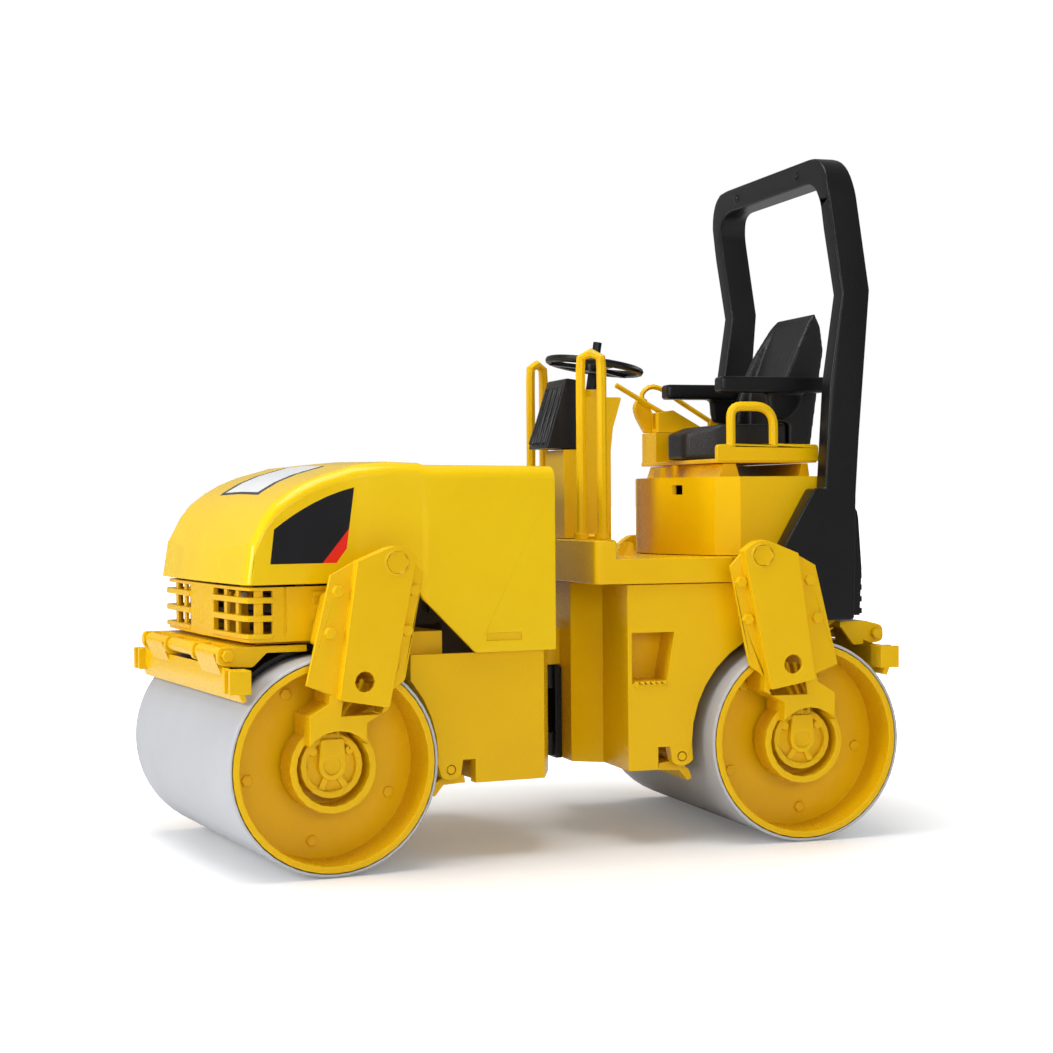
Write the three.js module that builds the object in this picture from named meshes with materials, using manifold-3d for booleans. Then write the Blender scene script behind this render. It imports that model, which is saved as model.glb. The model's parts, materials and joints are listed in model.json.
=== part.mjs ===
// Toy tandem road roller, built as an articulated machine of separate mouldings.
// Millimetres. X points forward, Y to the driver's left, Z up. Both halves are drawn from the
// front axle, which is x = 0, with the ground at z = 0, and the machine is centred at the end.
import * as THREE from 'three';
import { mergeVertices } from 'three/addons/utils/BufferGeometryUtils.js';
import Module from 'manifold-3d';

const wasm = await Module();
wasm.setup();

// Driving dimensions.
const clearance = 0.3;
const drum = { radius: 38.2, halfWidth: 64.5, shellWall: 1.1, recess: 16, lip: 2.4 };
const wheelbase = 193.5;
const pivotX = -108;
const restSteer = THREE.MathUtils.degToRad(7.8);
const swingZ = 47;
const axleZ = drum.radius;
const axleRadius = 3.5;
const frontBody = { halfWidth: 55, rear: -98, shoulder: -84, bottom: 28, top: 75, wall: 2.4 };
const rearBody = { halfWidth: 56, front: -125, rear: -213, bottom: 28.5, top: 98, wall: 2.4 };
const archRadius = { front: 42, rear: 43 };
const nose = { front: -114.4, frontHalf: 20.3, rearHalf: 27.6 };
const grille = { front: 27.8, bow: 1.8, halfWidth: 53, bottom: 81.3, top: 100.4, wall: 2 };
const hoodHinge = { x: 22.5, z: 97, pinRadius: 1.5 };
const deck = { bottom: 98.3, top: 107.8, halfWidth: 57.6, front: -112, wallTop: 114.5 };
const pedestal = { top: 138.2, halfWidth: 49.8, rear: -207 };
const tray = { bottom: 143.6, top: 145.2 };
const consoleTop = 157.4;
const rops = { outer: 58.2, inner: 50.2, top: 261.5, barBottom: 252, outerBend: 17, innerBend: 13 };
const wheelTilt = THREE.MathUtils.degToRad(8.8);
const steeringWheel = { x: -131.9, z: 182.9, radius: 18.3, rimRadius: 1.5 };

const finishes = {
  bodyYellow: { color: 0xf2c200, roughness: 0.42, metalness: 0 },
  glossYellow: { color: 0xf5ca00, roughness: 0.16, metalness: 0 },
  drumGrey: { color: 0xc9cbcd, roughness: 0.5, metalness: 0 },
  satinBlack: { color: 0x17181a, roughness: 0.55, metalness: 0 },
  softBlack: { color: 0x141516, roughness: 0.8, metalness: 0 },
  engineGrey: { color: 0x4a4c50, roughness: 0.5, metalness: 0.1 },
  steel: { color: 0x9da1a6, roughness: 0.35, metalness: 0.9 },
};

// Shape helpers.

function signedVolume(points, triangles) {
  const corner = (i) => new THREE.Vector3().fromArray(points, 3 * triangles[i]);
  let volume = 0;
  for (let i = 0; i < triangles.length; i += 3) {
    volume += corner(i).dot(corner(i + 1).cross(corner(i + 2))) / 6;
  }
  return volume;
}

function solidOf(geometry) {
  const bare = new THREE.BufferGeometry();
  bare.setAttribute('position', geometry.getAttribute('position'));
  bare.setIndex(geometry.getIndex());
  const merged = mergeVertices(bare, 1e-4);
  const points = new Float32Array(merged.getAttribute('position').array);
  const index = merged.getIndex().array;
  const triangles = [];
  for (let i = 0; i < index.length; i += 3) {
    const [a, b, c] = index.slice(i, i + 3);
    if (a !== b && b !== c && c !== a) triangles.push(a, b, c);
  }
  if (signedVolume(points, triangles) < 0) triangles.reverse();
  const triVerts = new Uint32Array(triangles);
  return new wasm.Manifold(new wasm.Mesh({ numProp: 3, vertProperties: points, triVerts }));
}

function geometryOf(solid) {
  const mesh = solid.getMesh();
  const geometry = new THREE.BufferGeometry();
  geometry.setAttribute('position', new THREE.BufferAttribute(mesh.vertProperties, 3));
  geometry.setIndex(new THREE.BufferAttribute(mesh.triVerts, 1));
  geometry.computeVertexNormals();
  return geometry;
}

const join = (...solids) => solids.reduce((whole, solid) => whole.add(solid));
const cut = (solid, ...tools) => tools.reduce((whole, tool) => whole.subtract(tool), solid);
const mirrored = (solid) => solidOf(geometryOf(solid).scale(1, -1, 1));
const bothSides = (solid) => join(solid, mirrored(solid));
const moved = (solid, matrix) => solidOf(geometryOf(solid).applyMatrix4(matrix));
const shifted = (solid, x, y, z) => moved(solid, new THREE.Matrix4().makeTranslation(x, y, z));

// The plane that a section is drawn in, for each direction that it is drawn out along.
const unit = { x: new THREE.Vector3(1, 0, 0), y: new THREE.Vector3(0, 1, 0), z: new THREE.Vector3(0, 0, 1) };
const plane = {
  x: [unit.y, unit.z, unit.x],
  y: [unit.x, unit.z, unit.y],
  z: [unit.x, unit.y, unit.z],
};

function prism(axis, shape, [from, to], segments = 8) {
  const options = { depth: to - from, bevelEnabled: false, curveSegments: segments };
  const geometry = new THREE.ExtrudeGeometry(shape, options).translate(0, 0, from);
  return solidOf(geometry.applyMatrix4(new THREE.Matrix4().makeBasis(...plane[axis])));
}

// A closed outline through corner points; a third number rounds that corner.
function outline(corners) {
  const shape = new THREE.Shape();
  corners.forEach(([u, v, round = 0], i) => {
    const here = new THREE.Vector2(u, v);
    const towards = (corner) => new THREE.Vector2(corner[0], corner[1]).sub(here).setLength(round).add(here);
    const start = towards(corners.at(i - 1));
    const end = towards(corners[(i + 1) % corners.length]);
    if (i === 0) shape.moveTo(start.x, start.y);
    else shape.lineTo(start.x, start.y);
    if (round > 0) shape.quadraticCurveTo(u, v, end.x, end.y);
  });
  return shape;
}

const circle = (u, v, radius) => new THREE.Shape().absarc(u, v, radius, 0, 2 * Math.PI);
const bar = (axis, corners, range, segments = 3) => prism(axis, outline(corners), range, segments);
const rod = (axis, radius, range, [u, v], segments = 6) => prism(axis, circle(u, v, radius), range, segments);
const hexRod = (axis, radius, range, [u, v]) => prism(axis, circle(u, v, radius), range, 3);

function box([x0, x1], [y0, y1], [z0, z1]) {
  const geometry = new THREE.BoxGeometry(x1 - x0, y1 - y0, z1 - z0);
  return solidOf(geometry.translate((x0 + x1) / 2, (y0 + y1) / 2, (z0 + z1) / 2));
}

// A ring or disc turned about an axis through (u, v), from [radius, along] points.
function turned(axis, profile, [u, v], segments = 48) {
  const points = profile.map(([radius, along]) => new THREE.Vector2(radius, along));
  if (profile[0][0] > 0) points.push(points[0].clone());
  const [across, up, along] = plane[axis];
  const basis = new THREE.Matrix4().makeBasis(across, along, up);
  const geometry = new THREE.LatheGeometry(points, segments).applyMatrix4(basis);
  const centre = across.clone().multiplyScalar(u).addScaledVector(up, v);
  return solidOf(geometry.translate(centre.x, centre.y, centre.z));
}

function tube(points, radius, steps, sides = 2) {
  const corners = points.map((point) => new THREE.Vector3(...point));
  const path = new THREE.CatmullRomCurve3(corners, false, 'centripetal');
  const options = { extrudePath: path, steps, curveSegments: sides, bevelEnabled: false };
  return solidOf(new THREE.ExtrudeGeometry(circle(0, 0, radius), options));
}

// A round-cornered hoop of tube standing on two legs, whose places are given in plan.
function hoop(front, rear, [z0, z1], radius, [frontBend, rearBend]) {
  const foot = new THREE.Vector3(...front, 0);
  const across = new THREE.Vector3(...rear, 0).sub(foot);
  const span = across.length();
  across.normalize();
  const at = (along, z) => foot.clone().addScaledVector(across, along).setZ(z);
  const path = new THREE.CurvePath();
  path.add(new THREE.LineCurve3(at(0, z0), at(0, z1 - frontBend)));
  path.add(new THREE.QuadraticBezierCurve3(at(0, z1 - frontBend), at(0, z1), at(frontBend, z1)));
  path.add(new THREE.LineCurve3(at(frontBend, z1), at(span - rearBend, z1)));
  path.add(new THREE.QuadraticBezierCurve3(at(span - rearBend, z1), at(span, z1), at(span, z1 - rearBend)));
  path.add(new THREE.LineCurve3(at(span, z1 - rearBend), at(span, z0)));
  const options = { extrudePath: path, steps: 32, curveSegments: 4, bevelEnabled: false };
  return solidOf(new THREE.ExtrudeGeometry(circle(0, 0, radius), options));
}

// A skin through closed rings of points, one ring for each section, capped at both ends.
function lofted(rings) {
  const count = rings[0].length;
  const triangles = [];
  for (let r = 0; r + 1 < rings.length; r += 1) {
    for (let i = 0; i < count; i += 1) {
      const next = (i + 1) % count;
      const [a, b] = [r * count + i, r * count + next];
      const [c, d] = [a + count, b + count];
      triangles.push(a, b, d, a, d, c);
    }
  }
  const last = (rings.length - 1) * count;
  for (let i = 1; i + 1 < count; i += 1) {
    triangles.push(0, i + 1, i, last, last + i, last + i + 1);
  }
  const geometry = new THREE.BufferGeometry();
  geometry.setAttribute('position', new THREE.Float32BufferAttribute(rings.flat(2), 3));
  geometry.setIndex(triangles);
  return solidOf(geometry);
}

function part(parent, name, finish, solid) {
  const mesh = new THREE.Mesh(geometryOf(solid), new THREE.MeshStandardMaterial(finishes[finish]));
  mesh.name = name;
  parent.add(mesh);
  return mesh;
}

// Each axle set is drawn with its outer end towards +X and its origin on the ground under the axle.

function drumShell() {
  const { radius, halfWidth, shellWall } = drum;
  const inner = radius - shellWall;
  const profile = [[inner, -halfWidth], [radius - 0.5, -halfWidth], [radius, -halfWidth + 0.5],
    [radius, halfWidth - 0.5], [radius - 0.5, halfWidth], [inner, halfWidth]];
  return turned('y', profile, [0, axleZ], 48);
}

function drumWheel() {
  const { halfWidth, recess, lip } = drum;
  const rim = drum.radius - drum.shellWall - clearance;
  const face = halfWidth - recess;
  const bore = axleRadius + clearance;
  const profile = [[rim, halfWidth], [rim - lip, halfWidth], [rim - lip - 0.4, face], [bore, face],
    [bore, face - 9], [bore + 3, face - 9], [bore + 3, face - 3], [rim - 2, face - 3], [rim, face - 12]];
  const bolts = Array.from({ length: 5 }, (_, i) => {
    const angle = THREE.MathUtils.degToRad(62 + 72 * i);
    const centre = [27.7 * Math.cos(angle), axleZ + 27.7 * Math.sin(angle)];
    return hexRod('y', 2.1, [face - 1, face + 1.3], centre);
  });
  return join(turned('y', profile, [0, axleZ], 40), ...bolts);
}

const axle = () => rod('y', axleRadius, [-52.8, 52.8], [0, axleZ], 6);

// Side plan of an arm: flanges each side of a raised channel, leaning away from the outer end.
const arm = {
  flange: [[2.6, 104.5], [-6, 109.2], [-21.7, 115.6, 5], [-31.9, 104.7], [-24.6, 67.5, 1], [-17.4, 62.5],
    [0.6, 62.5], [11.6, 67]],
  channel: [[-6, 109.2], [-21.7, 115.6, 5], [-28, 110.2], [-17.4, 58.4, 1], [0.9, 61.8, 1]],
  hollow: [[-8.6, 106], [-25.2, 106.6], [-15.8, 56], [-0.9, 56]],
  spacer: [[1.5, 98.5, 2], [-25.5, 98.5, 2], [-22, 80, 2], [6, 80, 2]],
  neck: [[2.6, 66], [-18.6, 66], [-18.4, 57.6], [-10.4, 53.2], [-10.4, 46], [10.4, 46], [10.4, 56.4],
      [3.4, 60.6]],
  neckHollow: [[0.6, 70], [-16.4, 70], [-16.2, 59], [-8.2, 54.6], [-8.2, 44], [8.2, 44], [8.2, 55.2],
      [1.2, 59.4]],
  flangeFace: 67.6,
  channelFace: 71.4,
  plateInner: 50.8,
  plateOuter: 53,
  ringOuter: 15.9,
  ringInner: 13.4,
};

function armBolts() {
  const places = [[-0.1, 99], [2.9, 84.7], [-27.9, 98.7], [-25.2, 84.8]];
  return places.map((place) => hexRod('y', 2.2, [arm.flangeFace - 0.5, arm.flangeFace + 1.7], place));
}

function drumArm(spacerInner, spacerOuter) {
  const centre = [0, axleZ - 0.6];
  const flange = bar('y', arm.flange, [66, arm.flangeFace]);
  const channel = bar('y', arm.channel, [66, arm.channelFace]);
  const ring = rod('y', arm.ringOuter, [arm.plateInner, 62], centre, 10);
  const neck = bar('y', arm.neck, [arm.plateInner, arm.flangeFace]);
  const pocket = rod('y', arm.ringInner, [arm.plateOuter, 70], centre, 10);
  const spacer = bar('y', arm.spacer, [spacerInner, 66.4]);
  const trim = box([-40, spacerOuter], [spacerInner - 1, 66.5], [75, 105]);
  const throat = bar('y', arm.neckHollow, [arm.plateOuter, 66.2]);
  const hollow = bar('y', arm.hollow, [60, arm.channelFace - 1.6]);
  const frame = cut(join(flange, channel, ring, neck), hollow, throat, pocket);
  const plugCentre = [-20.5, 108.6];
  const plug = cut(rod('y', 4.6, [69, arm.channelFace + 0.5], plugCentre), rod('y', 3.7,
    [70.4, 73], plugCentre));
  const lowerHole = rod('y', 3.6, [60, 73], [-8.4, 67.8]);
  const axleHole = rod('y', axleRadius + clearance, [50, 54], [0, axleZ], 6);
  return cut(join(frame, spacer.intersect(trim), plug, ...armBolts()), lowerHole, axleHole);
}

function driveMotor(hoseXs) {
  const face = 60;
  const centre = [0, axleZ];
  const body = rod('y', 11.4, [arm.plateOuter + clearance, face - 2], centre, 10);
  const collar = cut(rod('y', 11.4, [face - 3, face], centre, 10), rod('y', 9,
    [face - 2, face + 1], centre, 10));
  const block = bar('y', [[-5, axleZ], [-4.2, axleZ + 9.4, 0.8], [4.2, axleZ + 9.4, 0.8], [5, axleZ]],
    [face - 3, face + 1]);
  const boss = rod('y', 5, [face - 3, face + 1], centre);
  const eyes = [-6.6, 6.6].map((x) => rod('y', 1.6, [face - 3, face], [x, axleZ + 5.2], 4));
  const spokes = [-125, -65].map((degrees) => {
    const turn = new THREE.Matrix4().makeRotationY(THREE.MathUtils.degToRad(-degrees));
    const spoke = moved(box([3, 9.6], [face - 3, face - 0.4], [-1.1, 1.1]), turn);
    return shifted(spoke, 0, 0, axleZ);
  });
  const hoses = hoseXs.map((x) => tube([[x, face - 0.5, axleZ + 8], [x * 0.9, face, axleZ + 14],
    [x - 2, 60.6, axleZ + 19], [x - 6, 62.4, axleZ + 25], [x - 7.6, 63.6, axleZ + 30]], 0.95, 12));
  const whole = join(body, collar, block, boss, ...eyes, ...spokes, ...hoses);
  return cut(whole, rod('y', 3.2, [face, face + 2], centre));
}

// Scrapers: a bracket with four knuckles, the sleeved rod in them, and the blade that hangs on the rod.
const scraper = { x: 34.9, z: 77.2, knuckles: [-51, -18.7, 18.7, 51], sleeveRadius: 2.6, rodRadius: 1.5 };

function scraperBracket(top, plateInner, cheekInner) {
  const { x, z } = scraper;
  const plate = box([plateInner, 31], [-52, 52], [top - 2.3, top]);
  const lip = box([28.6, 31], [-52, 52], [top - 6, top]);
  const ears = scraper.knuckles.map((y) => bar('y', [[28.6, top], [28.6, top - 7, 1], [x - 1.4, z - 4, 2],
    [x + 3.4, z - 3, 2], [x + 3.2, z + 3, 2], [31, top]], [y - 1.2, y + 1.2]));
  const cheek = bar('y', [[30, top], [30, 73, 1], [25.7, 72.8, 1], [20.6, top - 2.3], [cheekInner, top - 2.3],
    [cheekInner, top]], [50, 52.2]);
  const bore = rod('y', scraper.rodRadius + clearance, [-60, 60], [x, z]);
  return cut(join(plate, lip, ...ears, bothSides(cheek)), bore);
}

function scraperRod() {
  const { x, z } = scraper;
  const spans = [[-49.4, -20.3], [-16.9, 16.9], [20.3, 49.4]];
  const sleeves = spans.map((span) => rod('y', scraper.sleeveRadius, span, [x, z], 6));
  const heads = [[-54.6, -52.6], [52.6, 54.6]].map((span) => hexRod('y', 2.2, span, [x, z]));
  return join(rod('y', scraper.rodRadius, [-54, 54], [x, z], 4), ...sleeves, ...heads);
}

function scraperBlade() {
  const { x, z } = scraper;
  const blade = bar('y', [[32.6, 72.4], [35, 73], [35.4, 67], [33.4, 61.9], [31.6, 62.6], [33.2, 67]],
    [-65, 65]);
  const hangers = [-34.5, 34.5].map((y) => {
    const plate = bar('y', [[x - 3.6, z + 1, 2], [x + 3.6, z + 1, 2], [35.4, 70], [33, 70]],
      [y - 12.4, y + 12.4]);
    return cut(plate, rod('y', scraper.sleeveRadius + clearance, [y - 13, y + 13], [x, z], 6));
  });
  const clamp = cut(box([30.4, 38], [57.6, 66], [64.8, 73]), box([34.6, 39], [59.6, 64], [63, 74]));
  return join(blade, bothSides(clamp), ...hangers);
}

// The inner flap hangs between two lugs behind the drum and clears the drum by a few millimetres.
const flap = { x: -47, z: 33.2, pinRadius: 1.6, halfLength: 50 };

function flapBlade() {
  const knuckle = rod('y', 3, [-flap.halfLength, flap.halfLength], [flap.x, flap.z], 5);
  const blade = bar('y', [[-54.6, 27.6], [-54, 30.4], [-47, 31.2], [-42, 27.4], [-40.8, 24], [-42.6, 23.2],
    [-46, 27.2]], [-flap.halfLength, flap.halfLength]);
  return cut(join(knuckle, blade), rod('y', flap.pinRadius + clearance, [-60, 60], [flap.x, flap.z], 5));
}

const flapPin = (reach) => rod('y', flap.pinRadius, [-reach, reach], [flap.x, flap.z], 5);

function axleSet(parent, end, options) {
  const sides = end === 'front' ? ['left', 'right'] : ['right', 'left'];
  part(parent, `${end}_drum_shell`, 'drumGrey', drumShell());
  part(parent, `${end}_axle`, 'steel', axle());
  const pieces = {
    drum_wheel: drumWheel(),
    drum_arm: drumArm(options.spacerInner, options.spacerOuter),
    drive_motor: driveMotor(options.hoseXs),
  };
  for (const [name, solid] of Object.entries(pieces)) {
    part(parent, `${end}_${name}_${sides[0]}`, 'bodyYellow', solid);
    part(parent, `${end}_${name}_${sides[1]}`, 'bodyYellow', mirrored(solid));
  }
  const { bracketTop, bracketInner, cheekInner } = options;
  part(parent, `${end}_scraper_bracket`, 'bodyYellow', scraperBracket(bracketTop, bracketInner, cheekInner));
  part(parent, `${end}_scraper_rod`, 'bodyYellow', scraperRod());
  part(parent, `${end}_scraper_blade`, 'bodyYellow', scraperBlade());
  part(parent, `${end}_flap_scraper`, 'bodyYellow', flapBlade());
  part(parent, `${end}_flap_pin`, 'bodyYellow', flapPin(options.flapReach));
}

// Front half.

function frontChassis() {
  const { halfWidth, rear, shoulder, bottom, top, wall } = frontBody;
  const side = bar('y', [[rear, top], [rear, bottom], [-56.5, bottom], [-56.5, 36.6], [-51.6, 36.6],
    [-50.6, 30.6, 1], [-47, 29, 2], [-43.3, 30.6, 1], [-41, 38], [-31.6, 60], [-31.6, top]],
      [-halfWidth, halfWidth]);
  const plan = bar('z', [[0, halfWidth], [shoulder, halfWidth], [-94.3, 36.3], [rear, 26], [rear, -26],
    [-94.3, -36.3], [shoulder, -halfWidth], [0, -halfWidth]], [bottom - 1, top + 1]);
  const bay = join(box([-81.6, -53.4], [-halfWidth + wall, halfWidth - wall], [42, top + 2]),
    box([-54, -38], [-halfWidth + wall, halfWidth - wall], [67, top + 2]),
    box([rear + wall, -80], [-33, 33], [36, top + 2]));
  const bridge = join(box([-46, -33.4], [-49.6, 49.6], [68, 83]), box([-46, 23.4], [-48.4, 48.4], [80.4, 83]));
  const arch = rod('y', archRadius.front, [-60, 60], [0, axleZ], 18);
  const flapRoom = box([-60, -40], [-50.5, 50.5], [20, 38.5]);
  const hingeLug = bar('y', [[26, 82], [18.4, 82], [19.6, 98.6, 2], [25.4, 98.6, 2]], [23, 26]);
  const shell = join(cut(side.intersect(plan), bay), bridge);
  return cut(join(shell, bothSides(hingeLug)), arch, flapRoom,
    rod('y', flap.pinRadius + clearance, [-60, 60], [flap.x, flap.z], 5),
    rod('y', hoodHinge.pinRadius + clearance, [-30, 30], [hoodHinge.x, hoodHinge.z], 4),
    rod('x', 5.3, [rear - 1, rear + wall + 1], [0, swingZ], 6));
}

const grillePlan = (grow) => {
  const { front, bow, halfWidth } = grille;
  return [[-31, -halfWidth - grow], [front + grow, -halfWidth - grow, 4], [front + bow + grow, 0, 30],
    [front + grow, halfWidth + grow, 4], [-31, halfWidth + grow]];
};

function grilleBox() {
  const { bottom, top, wall } = grille;
  const shell = cut(bar('z', grillePlan(0), [bottom, top], 2),
    bar('z', grillePlan(-wall).map(([x, y, r]) => [x === -31 ? -40 : x, y, r]), [bottom - 1, top + 1], 2));
  const louvreZone = box([18.6, 40], [15, 60], [82, 99.2]);
  const rows = [[84, 88.7], [90.5, 95], [96.9, 99.2]];
  const windows = rows.map((row) => box([18.6, 40], [15, 60], row));
  const inset = cut(bar('z', grillePlan(-0.9), [83, 99.4], 2), bar('z', grillePlan(-wall), [82, 100.5], 2));
  const posts = [[[25, 30], [25, 28.4]], [[25, 30], [38, 41]], [[21.8, 24.6], [48, 53]]]
    .map(([xs, ys]) => inset.intersect(box(xs, ys, [83, 99.4])));
  const bars = [[82.6, 84.2], [88.6, 90.6], [94.9, 96.9]].map((row) => cut(bar('z', grillePlan(0.8), row, 2),
    bar('z', grillePlan(-wall), [80, 101], 2)).intersect(louvreZone));
  const half = (solid) => [solid, mirrored(solid)];
  const openShell = cut(shell, ...windows.flatMap(half));
  const button = rod('x', 3.7, [28.8, 32], [0, 89.2], 6);
  const groove = box([13.6, 14.4], [52.4, 54], [bottom + 2, top + 1]);
  const latch = cut(box([-3, 4.2], [52.8, 53.9], [84, 98.6]), box([-0.4, 5], [53.2, 55], [85.6, 88.6]),
    box([-0.4, 5], [53.2, 55], [94, 97]));
  const whole = join(openShell, ...posts.flatMap(half), ...bars.flatMap(half), bothSides(latch));
  return cut(whole, button, bothSides(groove));
}

function mudguard() {
  const guard = (radius) => rod('y', radius, [-49.4, 49.4], [0, axleZ], 18);
  const sector = bar('y', [[0, axleZ], [60, axleZ + 58], [60, 110], [-18, 110], [-18, axleZ + 25]], [-60, 60]);
  return cut(guard(41.3), rod('y', 39.6, [-60, 60], [0, axleZ], 18)).intersect(sector);
}

// Hood sections: place along the hood, half width, and height of its top.
const hoodSections = [[-88, 57.4, 142.3], [-38, 58, 142.7], [-36, 57, 143.4], [-24, 56.6, 143.9],
  [-13, 55.8, 143],
  [-11, 55.4, 142.4], [0, 55.6, 139.4], [7, 55.8, 136.6], [13, 56, 133.2], [18, 56.2, 129.4],
    [22, 56.5, 124.6],
  [26, 56.6, 117], [36, 57, 100]];

function hoodRing([x, halfWidth, top], inset) {
  const side = halfWidth - inset;
  const roof = top - inset;
  const ring = [[x, -side, 70], [x, -side, roof - 5]];
  for (let i = 1; i <= 4; i += 1) {
    const angle = (Math.PI / 2) * (i / 4);
    ring.push([x, -side + 5 * (1 - Math.cos(angle)), roof - 5 + 5 * Math.sin(angle)]);
  }
  ring.push([x, 0, roof + 0.8]);
  return [...ring, ...ring.slice(0, -1).reverse().map(([a, b, c]) => [a, -b, c])];
}

function hoodBody(inset) {
  const skin = lofted(hoodSections.map((section) => hoodRing(section, inset)));
  const nosePlan = [[-87.4 + inset, -70], [29.2 - inset, -57.2 + inset, 5], [31.6 - inset, 0, 30],
    [29.2 - inset, 57.2 - inset, 5], [-87.4 + inset, 70]];
  const lean = new THREE.Matrix4().makeShear(0, 0, 0, 0, -0.16, 0);
  const aboutBase = new THREE.Matrix4().makeTranslation(0, 0, 101.3).multiply(lean)
    .multiply(new THREE.Matrix4().makeTranslation(0, 0, -101.3));
  const nosePrism = moved(bar('z', nosePlan, [60, 160], 6), aboutBase);
  const rearBlock = box([-88, 0], [-70, 70], [60, 160]);
  return skin.intersect(join(nosePrism.intersect(box([-30, 60], [-70, 70], [60, 160])), rearBlock));
}

function engineHood() {
  const wall = 1.8;
  const below = bar('y', [[60, 60], [60, 101.3], [-33.5, 101.3], [-35.6, 95, 2], [-55.8, 75.1, 1],
    [-100, 75.1],
    [-100, 60]], [-80, 80]);
  const shell = cut(hoodBody(0), cut(hoodBody(wall), box([-100, -86.2], [-80, 80], [60, 160])), below);
  const grip = box([-74, -60], [56.6, 60], [79.2, 82]);
  const { x, z } = hoodHinge;
  const lug = bar('y', [[x - 3.6, z], [x - 3.6, 109], [28.6, 109], [28.6, 105.6], [x, 105.6], [x + 0.4, 100],
    [x + 2.8, z], [x + 2, z - 2, 1], [x - 2.6, z - 2, 1]], [28.6, 31.4]);
  const lugs = cut(bothSides(lug), rod('y', hoodHinge.pinRadius + clearance, [-40, 40], [x, z], 4));
  const rearRim = cut(shell, box([-90, -80], [-52, 52], [60, 139]));
  return join(cut(rearRim, bothSides(grip)), lugs);
}

const hingePin = () => rod('y', hoodHinge.pinRadius, [-33, 33], [hoodHinge.x, hoodHinge.z], 4);

function engineBlock() {
  const block = box([-66, -18], [-20, 20], [83.4, 108]);
  const head = box([-62, -22], [-13, 13], [108, 116]);
  const sump = box([-78, -56], [-24, 24], [42.5, 84]);
  const fins = Array.from({ length: 7 }, (_, i) => box([-60 + 5.5 * i, -57.6 + 5.5 * i], [-22.5, 22.5],
    [88, 105]));
  const rockers = [-52, -32].map((x) => rod('y', 5, [-15, 15], [x, 116], 5));
  const neck = box([-78, -60], [-20, 20], [80, 90]);
  return join(block, head, sump, neck, ...fins, ...rockers);
}

function radiator() {
  const core = box([6, 12], [-40, 40], [83.4, 120]);
  const slots = Array.from({ length: 9 }, (_, i) => box([10.4, 13], [-36, 36],
    [86 + 3.6 * i, 87.8 + 3.6 * i]));
  return cut(core, ...slots);
}

const airFilter = () => join(rod('x', 8.5, [-60, -34], [-36, 93], 8), rod('x', 6.5, [-62, -32], [-36, 93], 8),
  box([-56, -38], [-38, -34], [83.4, 88]));

// The yoke turns on the king pin, and the front half rocks on its fore-and-aft shaft.
const knuckleRadius = 5.9;

function articulationYoke() {
  const hub = rod('z', knuckleRadius, [38.6, 55.4], [pivotX, 0], 6);
  const web = box([pivotX, -100.6], [-6, 6], [40, 54]);
  const flange = rod('x', 9, [-101.4, frontBody.rear - 0.4], [0, swingZ], 6);
  const shaft = rod('x', 5, [-102, -89], [0, swingZ], 6);
  return cut(join(hub, web, flange, shaft), rod('z', 2.9, [30, 60], [pivotX, 0], 4));
}

const swingCollar = () => turned('x', [[5.3, -95], [8.6, -95], [8.6, -91], [5.3, -91]], [0, swingZ], 20);
const kingPin = () => join(rod('z', 2.6, [28.4, 80.4], [pivotX, 0], 4),
  rod('z', 4.4, [80.2, 82.6], [pivotX, 0], 4));

function rearKnuckles() {
  const knuckle = ([z0, z1]) => join(rod('z', knuckleRadius, [z0, z1], [pivotX, 0], 6),
    box([nose.front + clearance, pivotX], [-knuckleRadius, knuckleRadius], [z0, z1]));
  const spine = box([nose.front + clearance, -111.6], [-9, 9], [28.6, 64.6]);
  const yokeRoom = rod('z', knuckleRadius + clearance, [38.3, 55.7], [pivotX, 0], 6);
  const bore = rod('z', 2.9, [20, 70], [pivotX, 0], 4);
  return cut(join(spine, knuckle([29.4, 38.2]), knuckle([55.8, 64.4])), yokeRoom, bore);
}

// Rear half.

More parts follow.
